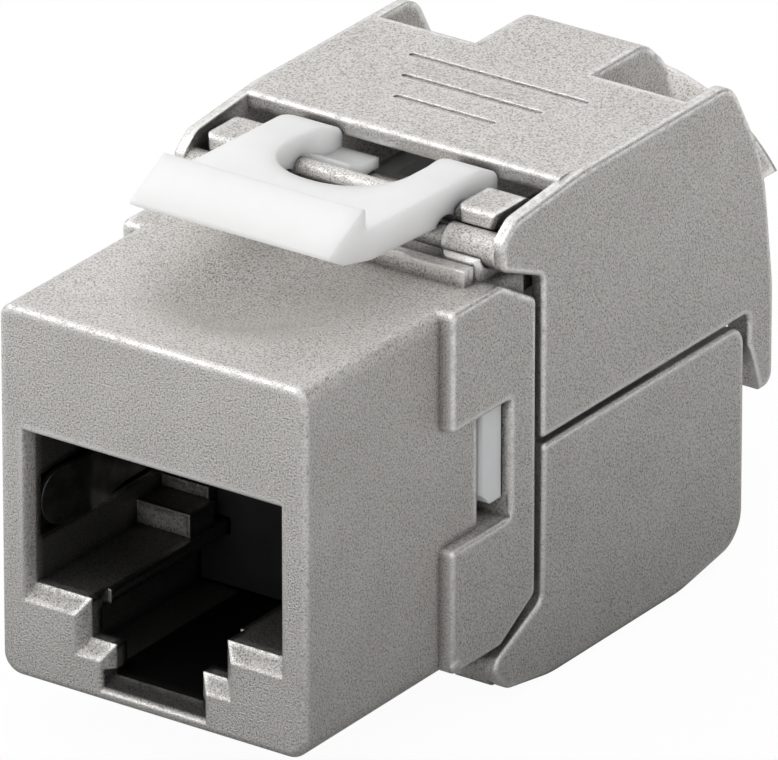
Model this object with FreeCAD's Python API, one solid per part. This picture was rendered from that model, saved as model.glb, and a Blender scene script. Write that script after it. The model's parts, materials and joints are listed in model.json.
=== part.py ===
import FreeCAD, Part
import math
import os

# Shielded toolless keystone jack for eight-wire plugs, millimetres.
# Frame: X to the right seen from the plug side, +Y towards the cable, +Z up.
# The origin is the centre of the plug socket's body opening, on the front face.

# Front block, a zinc casting that snaps into a keystone cut-out
BLOCK_WIDTH = 14.8
BLOCK_HEIGHT = 16.1
BLOCK_LENGTH = 15.05
BLOCK_TOP_RADIUS = 0.6
BLOCK_FOOT_RADIUS = 0.9
EDGE_SOFTENING = 0.3
FRONT_WALL = 1.5
SIDE_WALL = 1.0
ROOF_WALL = 1.5
FLOOR_WALL = 1.2
ROOT = 0.3
OVERLAP = 0.1

# Plug socket: body opening, step for the plug's tab and the slot below it
SOCKET_WIDTH = 12.0
SOCKET_HEIGHT = 6.8
SOCKET_ABOVE_FOOT = 4.1
STEP_WIDTH = 6.6
STEP_DROP = 1.7
SLOT_WIDTH = 4.2
SLOT_DROP = 3.0
LEAD_IN = 0.5
LEAD_IN_SIDE = 0.3
LEAD_IN_DROP = 0.7
SHELF_THICKNESS = 0.6
SHELF_GAP = 6.3
TAB_CHANNEL_WIDTH = 9.2
TAB_WALL = 1.2
STOP_STEPS = ((1.7, 1.0, 2.6), (0.6, 1.5, 2.3))
STOP_GAP = 0.02

# Chambers behind the socket, measured forward from the block's rear face
REAR_CHAMBER_LENGTH = 4.65
CARRIER_CHAMBER_HEIGHT = 3.2

# Side pads, which stop against the rear of the panel
PAD_THICKNESS = 0.62
PAD_FRONT = 9.2
PAD_CHAMFER = 2.4
PAD_CHAMFER_DROP = 1.4
PAD_FOOT_LIFT = 0.35
WINDOW_SETBACK = 1.75
WINDOW_LENGTH = 1.5
WINDOW_ABOVE_FOOT = 5.75
WINDOW_HEIGHT = 5.15

# Dish in the top face under the latch
DISH_CENTRE_Y = 6.4
DISH_RADIUS = 5.2
DISH_DEPTH = 0.95

# Fixed lug under the front, which hooks behind the panel's lower edge
LUG_WIDTH = 9.0
LUG_HEIGHT = 1.3
LUG_LENGTH = 2.0
LUG_SLOPE = 0.9
LUG_PANEL_GAP = 1.8

# Cover hinges: bars cast across the covers, held in open hooks on the block
UPPER_HINGE_SETBACK = 1.75
UPPER_HINGE_RISE = 1.1
LOWER_HINGE_SETBACK = 2.05
LOWER_HINGE_DROP = 0.65
HINGE_END_RADIUS = 0.7
HINGE_MID_RADIUS = 0.5
HINGE_CLEARANCE = 0.05
HOOK_WIDTH = 1.85
HOOK_SIDE_INSET = 0.35
HOOK_TOE = 0.25
HOOK_REAR = 2.8
HOOK_LIP = 0.6
HOOK_NOSE = 0.2
HOOK_CORNER = 0.45
RIB_INSET = 0.5
RIB_FRONT = 1.7
RIB_THICKNESS = 0.65
RIB_HEIGHT = 0.7
LEDGE_REAR = 3.6
LEDGE_BAR = 1.35
LEDGE_BAR_HEIGHT = 0.7

# Latch: a rocker that clips on a rod between the upper hooks
LATCH_PIN_SETBACK = 0.65
LATCH_PIN_RISE = 1.7
LATCH_PIN_RADIUS = 0.45
LATCH_PIN_CLEARANCE = 0.05
LATCH_SIDE_GAP = 0.38
LATCH_PANEL_GAP = 1.4
LATCH_CATCH_RISE = 3.35
LATCH_CATCH_HEIGHT = 1.03
LATCH_NOSE = 2.6
LATCH_TAIL = 2.55
LATCH_BACK_RISE = 3.08
LATCH_OPENING_LENGTH = 3.6
LATCH_OPENING_WIDTH = 5.9
LATCH_OPENING_REAR_WIDTH = 4.9
LATCH_CLIP_WALL = 0.5
LATCH_BAR_CLEARANCE = 0.4
LEAF_INNER = 1.0
LEAF_OUTER = 3.2
LEAF_THICKNESS = 0.45
LEAF_REACH = 2.65

# Covers, measured from the block's rear face, top face and foot
COVER_WALL = 0.7
COVER_SIDE_GAP = 0.1
COVER_FRONT_GAP = 0.45
COVER_LENGTH = 14.95
COVER_RISE = 2.9
COVER_DROP = 2.3
SEAM_LIFT = 0.15
SEAM_GAP = 0.3
COVER_PRESS_GAP = 0.2
PLATE_SETBACK = 3.85
PLATE_NOTCH = 3.6
PLATE_EDGE_RADIUS = 0.2
PRESS_RIB_INNER = 3.0
PRESS_RIB_THICKNESS = 0.8
TONGUE_WIDTH = 5.8
TONGUE_OVERHANG = 2.55
TONGUE_SKIN = 0.9
ARM_OVERHANG = 2.1
ARM_THICKNESS = 1.75
ARM_DROP = 3.6
ARM_CLEARANCE = 0.15
ARM_WIDTH = 1.05
LOWER_REAR_RADIUS = 0.95
LOWER_HEEL_LENGTH = 4.5
LOWER_HEEL_RISE = 0.75
CABLE_RADIUS = 4.4
HORN_NECK = 2.5
HORN_FLARE = 1.15
HORN_WALL = 0.6
HORN_LENGTH = 4.6
HORN_START_DEG = 35.0
GROOVE_COUNT = 3
GROOVE_SETBACK = 2.4
GROOVE_PITCH = 1.9
GROOVE_HALF_LENGTH = 4.35
GROOVE_TAPER = 0.95
GROOVE_WIDTH = 0.3
GROOVE_DEPTH = 0.08

# Contact set
CONTACT_COUNT = 8
CONTACT_PITCH = 1.02
CONTACT_WIDTH = 0.35
CONTACT_THICKNESS = 0.3
CONTACT_SLOT = 0.55
CONTACT_RUN_RISE = 1.0
CONTACT_TAIL_RISES = (1.4, 2.2)
CONTACT_HOLE_RADIUS = 0.28
CARRIER_FIT = 0.08
CARRIER_FRONT = 1.75
CARRIER_BACK_WALL = 0.7
SPRING_THICKNESS = 0.2
SPRING_HEIGHT = 2.5
SPRING_CENTRE_Z = -0.15
SPRING_TIP = 0.95
SPRING_BOW = 0.35
SPRING_POCKET = 0.4
SPRING_ROOM = 0.1

# Circuit board and wire side
BOARD_THICKNESS = 1.0
BOARD_FIT = 0.1
TERMINAL_COLUMNS = 4
TERMINAL_EDGE = 0.25
TOWER_GAP = 0.7
TOWER_HEIGHT = 3.3
TOWER_LENGTH = 4.0
TOWER_CORNER = 0.25
TOWER_SLOT = 0.9
TOWER_SLOT_DEPTH = 2.9
BLADE_WIDTH = 1.6
BLADE_THICKNESS = 0.4
BLADE_SLOT = 0.3
BLADE_SLOT_DEPTH = 3.2
BLADE_SHOULDER = 1.6
BLADE_RECESS = 0.4
BLADE_PIN_WIDTH = 0.44
BLADE_HOLE_RADIUS = 0.38
BLADE_CLEARANCE = 0.08
CATCH_LENGTH = 1.3
CATCH_HEIGHT = 4.2
CATCH_REACH = 1.3
CATCH_CORNER = 0.5
CATCH_WINDOW_GAP = 0.1
MANAGER_GAP = 0.2
MANAGER_SETBACK = 4.6
MANAGER_SIDE_INSET = 0.65
MANAGER_TOP_INSET = 0.5
MANAGER_CHAMFER = (1.6, 1.8)
MANAGER_FIT = 0.2
MANAGER_WEB = 2.6
MANAGER_THROAT_RADIUS = 2.7
CABLE_BORE_INSET = 0.6
WIRE_SLOT = 1.3
WIRE_SLOT_DEPTH = 2.9
WIRE_SLOT_WEB = 0.7

# Derived heights
SOCKET_TOP = SOCKET_HEIGHT / 2
SHELF = -SOCKET_HEIGHT / 2
FOOT = SHELF - SOCKET_ABOVE_FOOT
TOP = FOOT + BLOCK_HEIGHT
SEAM_HEIGHT = (TOP + FOOT) / 2 + SEAM_LIFT
SEAM_TOP = SEAM_HEIGHT + SEAM_GAP / 2
SEAM_BOTTOM = SEAM_HEIGHT - SEAM_GAP / 2
UPPER_HINGE_Z = TOP + UPPER_HINGE_RISE
LOWER_HINGE_Z = FOOT - LOWER_HINGE_DROP
LATCH_PIN_Z = TOP + LATCH_PIN_RISE
COVER_TOP = TOP + COVER_RISE
COVER_FOOT = FOOT - COVER_DROP
PLATE_UNDERSIDE = COVER_TOP - COVER_WALL
ARM_FOOT = SEAM_HEIGHT - ARM_DROP
CHAMBER_ROOF = SOCKET_TOP + CARRIER_CHAMBER_HEIGHT
REAR_FLOOR = FOOT + FLOOR_WALL
REAR_ROOF = TOP - ROOF_WALL
MANAGER_HALF_HEIGHT = BLOCK_HEIGHT / 2 - MANAGER_TOP_INSET
WINDOW_FOOT = FOOT + WINDOW_ABOVE_FOOT
WINDOW_TOP = WINDOW_FOOT + WINDOW_HEIGHT

# Derived half widths
HALF = BLOCK_WIDTH / 2
SIDE = HALF + PAD_THICKNESS
INSIDE = HALF + COVER_SIDE_GAP
PLATE_LIMITS = (-INSIDE - OVERLAP, INSIDE + OVERLAP)
CHAMBER_HALF = HALF - SIDE_WALL
HOOK_OUTER = HALF - HOOK_SIDE_INSET
HOOK_INNER = HOOK_OUTER - HOOK_WIDTH
LATCH_HALF = HOOK_INNER - LATCH_SIDE_GAP
MANAGER_HALF_WIDTH = HALF - MANAGER_SIDE_INSET
MANAGER_BORE = CABLE_RADIUS - CABLE_BORE_INSET
HORN_NECK_RADIUS = CABLE_RADIUS + HORN_NECK
HORN_RIM_RADIUS = HORN_NECK_RADIUS + HORN_FLARE
TERMINAL_PITCH = 2 * (CHAMBER_HALF - TERMINAL_EDGE) / TERMINAL_COLUMNS
TERMINAL_ROW_OFFSET = (REAR_ROOF - REAR_FLOOR - TOWER_HEIGHT) / 2 - ROOT
TOWER_WIDTH = TERMINAL_PITCH - TOWER_GAP

# Derived places along Y
CARRIER_CHAMBER_END = BLOCK_LENGTH - REAR_CHAMBER_LENGTH
CARRIER_BACK = CARRIER_CHAMBER_END - CARRIER_FIT
STOP_REAR = CARRIER_BACK - CARRIER_BACK_WALL - STOP_GAP
STOP_FRONT = STOP_REAR - sum(step[0] for step in STOP_STEPS)
WINDOW_REAR = BLOCK_LENGTH - WINDOW_SETBACK
WINDOW_FRONT = WINDOW_REAR - WINDOW_LENGTH
UPPER_HINGE_Y = BLOCK_LENGTH - UPPER_HINGE_SETBACK
LOWER_HINGE_Y = BLOCK_LENGTH - LOWER_HINGE_SETBACK
LATCH_PIN_Y = BLOCK_LENGTH - LATCH_PIN_SETBACK
COVER_FRONT = BLOCK_LENGTH + COVER_FRONT_GAP
COVER_REAR = BLOCK_LENGTH + COVER_LENGTH
COVER_PLATE_FRONT = UPPER_HINGE_Y + PLATE_SETBACK
COVER_PLATE_REAR = COVER_REAR - PLATE_NOTCH
REAR_WALL_FRONT = COVER_REAR - COVER_WALL
TONGUE_REAR = COVER_REAR + TONGUE_OVERHANG
ARM_REAR = COVER_REAR + ARM_OVERHANG
ARM_FRONT = ARM_REAR - ARM_THICKNESS
HORN_REAR = COVER_REAR + HORN_LENGTH
BOARD_FRONT = CARRIER_CHAMBER_END + BOARD_FIT
BOARD_BACK = BOARD_FRONT + BOARD_THICKNESS
BLOCK_FACE = BOARD_BACK + BOARD_FIT
TOWER_END = BLOCK_LENGTH + TOWER_LENGTH
MANAGER_FRONT = UPPER_HINGE_Y + LEDGE_REAR + MANAGER_GAP
MANAGER_REAR = COVER_REAR - MANAGER_SETBACK

AXES = {
    "YZ": lambda u, v, w: FreeCAD.Vector(w, u, v),
    "XY": lambda u, v, w: FreeCAD.Vector(u, v, w),
    "XZ": lambda u, v, w: FreeCAD.Vector(u, w, v),
}


def box(x_range, y_range, z_range):
    """A block between the two limits of each axis."""
    sizes = [limits[1] - limits[0] for limits in (x_range, y_range, z_range)]
    corner = FreeCAD.Vector(x_range[0], y_range[0], z_range[0])
    return Part.makeBox(sizes[0], sizes[1], sizes[2], corner)


def rod_x(y, z, radius, x_range):
    """A round bar along X."""
    start = FreeCAD.Vector(x_range[0], y, z)
    return Part.makeCylinder(radius, x_range[1] - x_range[0], start, FreeCAD.Vector(1, 0, 0))


def rod_y(x, z, radius, y_range):
    """A round bar along Y."""
    start = FreeCAD.Vector(x, y_range[0], z)
    return Part.makeCylinder(radius, y_range[1] - y_range[0], start, FreeCAD.Vector(0, 1, 0))


def mirrored(shape):
    """The same piece on the other side of X = 0."""
    return shape.mirror(FreeCAD.Vector(0, 0, 0), FreeCAD.Vector(1, 0, 0))


def both_sides(shape):
    """A piece and its mirror image across X = 0, as a list."""
    return [shape, mirrored(shape)]


def joined(shapes):
    """One solid from several that overlap."""
    return shapes[0].fuse(shapes[1:]).removeSplitter()


def corner_arc(before, corner, after, radius):
    """The two ends and the middle of the arc that rounds a corner."""
    to_before = (before - corner).normalize()
    to_after = (after - corner).normalize()
    half_angle = to_before.getAngle(to_after) / 2
    setback = radius / math.tan(half_angle)
    centre_line = (to_before + to_after).normalize()
    middle_gap = radius / math.sin(half_angle) - radius
    start = corner + to_before * setback
    end = corner + to_after * setback
    return start, corner + centre_line * middle_gap, end


def outline(points, plane, level):
    """A closed wire through (u, v) points; a third value rounds that corner."""
    place = AXES[plane]
    corners = [place(point[0], point[1], level) for point in points]
    edges = []
    ends = []
    for index, point in enumerate(points):
        corner = corners[index]
        if len(point) == 2:
            ends.append((corner, corner))
            continue
        before = corners[index - 1]
        after = corners[(index + 1) % len(corners)]
        start, middle, end = corner_arc(before, corner, after, point[2])
        edges.append(Part.Arc(start, middle, end).toShape())
        ends.append((start, end))
    for index, span in enumerate(ends):
        following = ends[(index + 1) % len(ends)][0]
        if span[1].distanceToPoint(following) > 1e-6:
            edges.append(Part.makeLine(span[1], following))
    return Part.Wire(Part.__sortEdges__(edges))


def slab(points, plane, limits):
    """An outline extruded between two levels of its normal axis."""
    face = Part.Face(outline(points, plane, limits[0]))
    direction = AXES[plane](0, 0, limits[1] - limits[0])
    return face.extrude(direction)


def direction_between(first, second, otherwise):
    """The unit vector from one path point to the next, or a stand-in at an end."""
    step = FreeCAD.Vector(second[0] - first[0], second[1] - first[1], 0)
    return step.normalize() if step.Length else otherwise


def ribbon(path, thickness, plane, limits):
    """A strip of even thickness along (u, v) points; a third value bends or rounds."""
    sides = ([], [])
    last = len(path) - 1
    for index, point in enumerate(path):
        out = direction_between(point, path[min(index + 1, last)], None)
        back = direction_between(path[max(index - 1, 0)], point, out)
        out = out or back
        turn = back.x * out.y - back.y * out.x
        normal = FreeCAD.Vector(-out.y - back.y, out.x + back.x, 0).normalize()
        reach = thickness / 2 / normal.dot(FreeCAD.Vector(-out.y, out.x, 0))
        for side, sign in zip(sides, (1, -1)):
            place = FreeCAD.Vector(point[0], point[1], 0) + normal * reach * sign
            corner = [place.x, place.y]
            if len(point) == 3:
                at_end = index in (0, last)
                grow = 0 if at_end else -math.copysign(thickness / 2, sign * turn)
                corner.append(point[2] + grow)
            side.append(tuple(corner))
    return slab(sides[0] + sides[1][::-1], plane, limits)


def edges_at(shape, **levels):
    """The edges that lie where each named coordinate has the given value."""
    found = []
    for edge in shape.Edges:
        bounds = edge.BoundBox
        spans = {
            "X": (bounds.XMin, bounds.XMax),
            "Y": (bounds.YMin, bounds.YMax),
            "Z": (bounds.ZMin, bounds.ZMax),
        }
        if all(max(abs(end - level) for end in spans[axis]) < 1e-4 for axis, level in levels.items()):
            found.append(edge)
    return found


def keyhole(body_side, slot_side, drop):
    """Points of the plug opening in XZ, grown outwards for the lead-in."""
    wide = SOCKET_WIDTH / 2 + body_side
    step = STEP_WIDTH / 2 + slot_side
    slot = SLOT_WIDTH / 2 + slot_side
    ledge = SHELF - drop
    step_floor = SHELF - STEP_DROP - drop
    slot_floor = SHELF - SLOT_DROP - drop
    right = [(wide, SOCKET_TOP), (wide, ledge), (step, ledge)]
    right += [(step, step_floor), (slot, step_floor), (slot, slot_floor)]
    left = [(-x, z) for x, z in reversed(right)]
    return right + left


def socket_void():
    """The plug opening, its lead-in and the space inside the front block."""
    end = CARRIER_CHAMBER_END
    mouth = slab(keyhole(0, 0, 0), "XZ", (-OVERLAP, FRONT_WALL + OVERLAP))
    front = outline(keyhole(LEAD_IN_SIDE, LEAD_IN, LEAD_IN_DROP), "XZ", 0.0)
    lead_in = Part.makeLoft([front, outline(keyhole(0, 0, 0), "XZ", LEAD_IN)], True, True)
    body_limits = (-SOCKET_WIDTH / 2, SOCKET_WIDTH / 2)
    body = box(body_limits, (FRONT_WALL, end + OVERLAP), (SHELF, CHAMBER_ROOF))
    shelf_foot = SHELF - SHELF_THICKNESS
    gap = box((-SHELF_GAP / 2, SHELF_GAP / 2), (TAB_WALL, end), (shelf_foot, SHELF))
    channel_limits = (-TAB_CHANNEL_WIDTH / 2, TAB_CHANNEL_WIDTH / 2)
    channel = box(channel_limits, (TAB_WALL, end), (SHELF - SLOT_DROP, shelf_foot))
    rear_reach = (end, BLOCK_LENGTH + LEDGE_REAR)
    rear = box((-CHAMBER_HALF, CHAMBER_HALF), rear_reach, (REAR_FLOOR, REAR_ROOF))
    return [mouth, lead_in, body, gap, channel, rear]


def stop_steps():
    """Stepped blocks on both shelves that the plug comes up against."""
    steps = []
    front = STOP_FRONT
    wall = SOCKET_WIDTH / 2
    for length, height, width in STOP_STEPS:
        rise = (SHELF - OVERLAP, SHELF + height)
        step = box((wall - width, wall + OVERLAP), (front, front + length), rise)
        steps += both_sides(step)
        front += length
    return steps


def side_pad():
    """The raised pad on one side, open to the front round the catch window."""
    foot = FOOT + PAD_FOOT_LIFT
    points = [
        (PAD_FRONT, foot, 0.3),
        (BLOCK_LENGTH - PAD_CHAMFER, foot, 0.4),
        (BLOCK_LENGTH, foot + PAD_CHAMFER_DROP, 0.4),
        (BLOCK_LENGTH, TOP - PAD_CHAMFER_DROP, 0.4),
        (BLOCK_LENGTH - PAD_CHAMFER, TOP, 0.4),
        (PAD_FRONT, TOP, 0.3),
        (PAD_FRONT, WINDOW_TOP, 0.2),
        (WINDOW_REAR, WINDOW_TOP, 0.3),
        (WINDOW_REAR, WINDOW_FOOT, 0.3),
        (PAD_FRONT, WINDOW_FOOT, 0.2),
    ]
    pad = slab(points, "YZ", (HALF - 2 * ROOT, SIDE))
    return pad.makeFillet(EDGE_SOFTENING / 2, edges_at(pad, X=SIDE))


def catch_window():
    """The hole through one side wall that the terminal block's catch shows in."""
    return box((CHAMBER_HALF - ROOT, SIDE), (WINDOW_FRONT, WINDOW_REAR), (WINDOW_FOOT, WINDOW_TOP))


def top_dish():
    """The shallow round dish in the top face, with a soft rim."""
    arc_radius = (DISH_RADIUS**2 + DISH_DEPTH**2) / (4 * DISH_DEPTH)
    quarter = math.asin(DISH_RADIUS / 2 / arc_radius) / 2
    middle = FreeCAD.Vector(DISH_RADIUS / 2, 0, TOP - DISH_DEPTH / 2)
    bottom = FreeCAD.Vector(0, 0, TOP - DISH_DEPTH)
    rim = FreeCAD.Vector(DISH_RADIUS, 0, TOP)
    step = FreeCAD.Vector(arc_radius * math.sin(quarter), 0, arc_radius * (1 - math.cos(quarter)))
    back = FreeCAD.Vector(-step.x, 0, step.z)
    floor_arc = Part.Arc(bottom, bottom + step, middle).toShape()
    rim_arc = Part.Arc(middle, rim + FreeCAD.Vector(back.x, 0, -back.z), rim).toShape()
    above_rim = rim + FreeCAD.Vector(0, 0, 1)
    above_middle = FreeCAD.Vector(0, 0, TOP + 1)
    closing = [
        Part.makeLine(rim, above_rim),
        Part.makeLine(above_rim, above_middle),
        Part.makeLine(above_middle, bottom),
    ]
    face = Part.Face(Part.Wire([floor_arc, rim_arc] + closing))
    dish = face.revolve(FreeCAD.Vector(0, 0, 0), FreeCAD.Vector(0, 0, 1), 360)
    return dish.translated(FreeCAD.Vector(0, DISH_CENTRE_Y, 0))


def hook(hinge_y, hinge_z, face_z):
    """The right hook that holds one cover's hinge bar, open to the front."""
    away = 1 if hinge_z > face_z else -1
    bore = HINGE_END_RADIUS + HINGE_CLEARANCE
    front = hinge_y - bore - HOOK_TOE
    rear = hinge_y + HOOK_REAR
    crown = hinge_z + away * (bore + HOOK_LIP)
    profile = [
        (front, face_z - away * ROOT),
        (rear, face_z - away * ROOT),
        (rear, crown, 0.5),
        (hinge_y + HOOK_NOSE + OVERLAP, crown, 0.25),
        (hinge_y + HOOK_NOSE, hinge_z + away * bore / 2),
        (front, hinge_z - away * ROOT),
    ]
    plan = [
        (HOOK_INNER, front, HOOK_CORNER),
        (HOOK_OUTER, front, HOOK_CORNER),
        (HOOK_OUTER, rear),
        (HOOK_INNER, rear),
    ]
    lip_front = hinge_y + HOOK_NOSE
    lip_plan = [
        (HOOK_INNER, lip_front, HOOK_CORNER),
        (HOOK_OUTER, lip_front, HOOK_CORNER),
        (HOOK_OUTER, rear),
        (HOOK_INNER, rear),
    ]
    body = slab(profile, "YZ", (HOOK_INNER, HOOK_OUTER))
    low = slab(plan, "XY", sorted((face_z - away, hinge_z)))
    high = slab(lip_plan, "XY", sorted((hinge_z, crown + away)))
    return body.common(low.fuse(high)).cut(rod_x(hinge_y, hinge_z, bore, (0, SIDE)))


def hinge_seat(hinge_y, hinge_z, face_z):
    """Hooks, rib and rear ledge that hold one cover's hinge bar to the block."""
    away = 1 if hinge_z > face_z else -1
    wall = ROOF_WALL if away > 0 else FLOOR_WALL
    rib_half = HALF - RIB_INSET
    rib_front = hinge_y - RIB_FRONT
    rib_rise = sorted((face_z - away * ROOT, face_z + away * RIB_HEIGHT))
    rib = box((-rib_half, rib_half), (rib_front, rib_front + RIB_THICKNESS), rib_rise)
    ledge_face = hinge_z - away * HINGE_END_RADIUS
    ledge_rear = hinge_y + LEDGE_REAR
    ledge_limits = sorted((face_z - away * wall, ledge_face))
    ledge = box((-HOOK_OUTER, HOOK_OUTER), (BLOCK_LENGTH - ROOT, ledge_rear), ledge_limits)
    bar_half = HOOK_INNER - OVERLAP
    bar_limits = sorted((ledge_face - away * OVERLAP, ledge_face + away * LEDGE_BAR_HEIGHT))
    bar = box((-bar_half, bar_half), (ledge_rear - LEDGE_BAR, ledge_rear), bar_limits)
    return both_sides(hook(hinge_y, hinge_z, face_z)) + [rib, ledge, bar]


def panel_lug():
    """The fixed lug that hooks behind the panel's lower edge."""
    rear = PAD_FRONT - LUG_PANEL_GAP
    foot = FOOT - LUG_HEIGHT
    points = [
        (rear - LUG_LENGTH, FOOT + ROOT),
        (rear - LUG_LENGTH + LUG_SLOPE, foot, 0.3),
        (rear, foot, 0.15),
        (rear, FOOT + ROOT),
    ]
    return slab(points, "YZ", (-LUG_WIDTH / 2, LUG_WIDTH / 2))


def spring_pocket():
    """The shallow pocket in one socket wall that a shield spring lies in."""
    low = SPRING_CENTRE_Z - SPRING_HEIGHT / 2 - SPRING_ROOM
    high = SPRING_CENTRE_Z + SPRING_HEIGHT / 2 + SPRING_ROOM
    wall = SOCKET_WIDTH / 2
    reach = (SPRING_TIP - SPRING_ROOM, CARRIER_CHAMBER_END)
    return box((wall - OVERLAP, wall + SPRING_POCKET), reach, (low, high))


def lower_hinge_bed():
    """The shallow round bed in the foot that the lower hinge bar turns in."""
    bore = HINGE_END_RADIUS + HINGE_CLEARANCE
    return rod_x(LOWER_HINGE_Y, LOWER_HINGE_Z, bore, (-SIDE, SIDE))


def latch_rod():
    """The rod that the latch rocks on, clear of the thick ends of the hinge bar."""
    half = HOOK_INNER + ROOT
    rod = rod_x(LATCH_PIN_Y, LATCH_PIN_Z, LATCH_PIN_RADIUS, (-half, half))
    bore = HINGE_END_RADIUS + HINGE_CLEARANCE
    room = rod_x(UPPER_HINGE_Y, UPPER_HINGE_Z, bore, (HOOK_INNER - 2 * OVERLAP, SIDE))
    return rod.cut(both_sides(room))


def front_housing():
    """The zinc front block with socket, pads, hinge hooks and latch rod."""
    points = [
        (-HALF, FOOT, BLOCK_FOOT_RADIUS),
        (HALF, FOOT, BLOCK_FOOT_RADIUS),
        (HALF, TOP, BLOCK_TOP_RADIUS),
        (-HALF, TOP, BLOCK_TOP_RADIUS),
    ]
    block = slab(points, "XZ", (0, BLOCK_LENGTH))
    block = block.makeFillet(EDGE_SOFTENING, edges_at(block, Y=0))
    pieces = [block, panel_lug(), latch_rod()] + both_sides(side_pad())
    pieces += hinge_seat(UPPER_HINGE_Y, UPPER_HINGE_Z, TOP)
    pieces += hinge_seat(LOWER_HINGE_Y, LOWER_HINGE_Z, FOOT)
    casting = joined(pieces)
    casting = casting.cut([top_dish()] + socket_void() + both_sides(catch_window()))
    casting = casting.cut(both_sides(spring_pocket()) + [lower_hinge_bed()])
    return joined([casting] + stop_steps())


def shield_spring():
    """One leaf that touches the plug's shield, with a round tip, on the right."""
    wall = SOCKET_WIDTH / 2
    rest = wall + SPRING_POCKET - SPRING_THICKNESS / 2 - SPRING_ROOM / 2
    rear = CARRIER_CHAMBER_END - SPRING_ROOM
    path = [
        (rest, rear),
        (rest, STOP_FRONT - 0.6, 1.5),
        (wall - SPRING_BOW, SPRING_TIP + 2.6, 1.2),
        (rest - SPRING_ROOM, SPRING_TIP),
    ]
    low = SPRING_CENTRE_Z - SPRING_HEIGHT / 2
    high = SPRING_CENTRE_Z + SPRING_HEIGHT / 2
    tip_radius = SPRING_HEIGHT / 2 - SPRING_ROOM / 2
    leaf = ribbon(path, SPRING_THICKNESS, "XY", (low, high))
    face = [
        (SPRING_TIP, low, tip_radius),
        (rear, low),
        (rear, high),
        (SPRING_TIP, high, tip_radius),
    ]
    return leaf.common(slab(face, "YZ", (wall - 1, wall + 1)))


def latch_side():
    """The latch's side view: hook-shaped front, straight back, level underside."""
    catch = PAD_FRONT - LATCH_PANEL_GAP
    nose = catch - LATCH_NOSE
    tail = LATCH_PIN_Y + LATCH_TAIL
    under = LATCH_PIN_Z - LATCH_PIN_CLEARANCE
    catch_foot = TOP + LATCH_CATCH_RISE
    return [
        (nose, catch_foot - 0.35, 0.15),
        (nose + 1.1, catch_foot - 0.95, 0.6),
        (catch + 0.4, catch_foot - 1.4, 3.0),
        (LATCH_PIN_Y - 1.2, under, 3.0),
        (tail, under, 0.3),
        (tail, TOP + LATCH_BACK_RISE - 0.48, 0.7),
        (tail - 1.2, TOP + LATCH_BACK_RISE, 2.0),
        (catch, catch_foot, 0.1),
        (catch, catch_foot + LATCH_CATCH_HEIGHT, 0.12),
    ]


def latch_opening():
    """The U-shaped opening between the latch's two arms, in plan."""
    front = LATCH_PIN_Y - LATCH_OPENING_LENGTH
    rear = LATCH_PIN_Y + 2 * LATCH_TAIL
    wide = LATCH_OPENING_WIDTH / 2
    narrow = LATCH_OPENING_REAR_WIDTH / 2
    corner = wide - 0.15
    return [
        (-wide, front, corner),
        (wide, front, corner),
        (wide, front + wide + 1.0, 1.0),
        (narrow, rear),
        (-narrow, rear),
        (-wide, front + wide + 1.0, 1.0),
    ]


def latch_leaf():
    """The thin spring leaf behind the rod, which presses on the block."""
    level = LATCH_PIN_Z - LEAF_THICKNESS / 2
    start_y = LATCH_PIN_Y + LATCH_CLIP_WALL
    path = [
        (start_y, level + LEAF_THICKNESS),
        (start_y + 1.0, level, 1.0),
        (LATCH_PIN_Y + LEAF_REACH, level),
    ]
    leaf = ribbon(path, LEAF_THICKNESS, "YZ", (-LEAF_OUTER, -LEAF_INNER))
    rod_room = LATCH_PIN_RADIUS + 4 * LATCH_PIN_CLEARANCE
    return leaf.cut(rod_x(LATCH_PIN_Y, LATCH_PIN_Z, rod_room, (-HALF, HALF)))


def latch_clip():
    """The latch: wedge and catch in front, two arms that rock on the rod."""
    body = slab(latch_side(), "YZ", (-LATCH_HALF, LATCH_HALF))
    clip_radius = LATCH_PIN_RADIUS + LATCH_CLIP_WALL
    clip = rod_x(LATCH_PIN_Y, LATCH_PIN_Z, clip_radius, (-LATCH_HALF, LATCH_HALF))
    body = body.fuse(clip).cut(slab(latch_opening(), "XY", (TOP, COVER_TOP + 1)))
    bore = rod_x(LATCH_PIN_Y, LATCH_PIN_Z, LATCH_PIN_RADIUS + LATCH_PIN_CLEARANCE, (-HALF, HALF))
    relief = HINGE_MID_RADIUS + LATCH_BAR_CLEARANCE
    bar_space = rod_x(UPPER_HINGE_Y, UPPER_HINGE_Z, relief, (-HALF, HALF))
    return joined([body.cut([bore, bar_space]), latch_leaf()])


def hinge_bar(hinge_y, hinge_z):
    """A cover's hinge bar, thicker at its two ends."""
    reach = INSIDE + OVERLAP
    middle = rod_x(hinge_y, hinge_z, HINGE_MID_RADIUS, (-reach, reach))
    end = rod_x(hinge_y, hinge_z, HINGE_END_RADIUS, (HOOK_INNER - OVERLAP, reach))
    return [middle] + both_sides(end)


def cover_wall(points):
    """A cover's right wall from its side view, with a softened outer edge."""
    wall = slab(points, "YZ", (INSIDE, SIDE))
    return wall.makeFillet(EDGE_SOFTENING / 2, edges_at(wall, X=SIDE))


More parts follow.
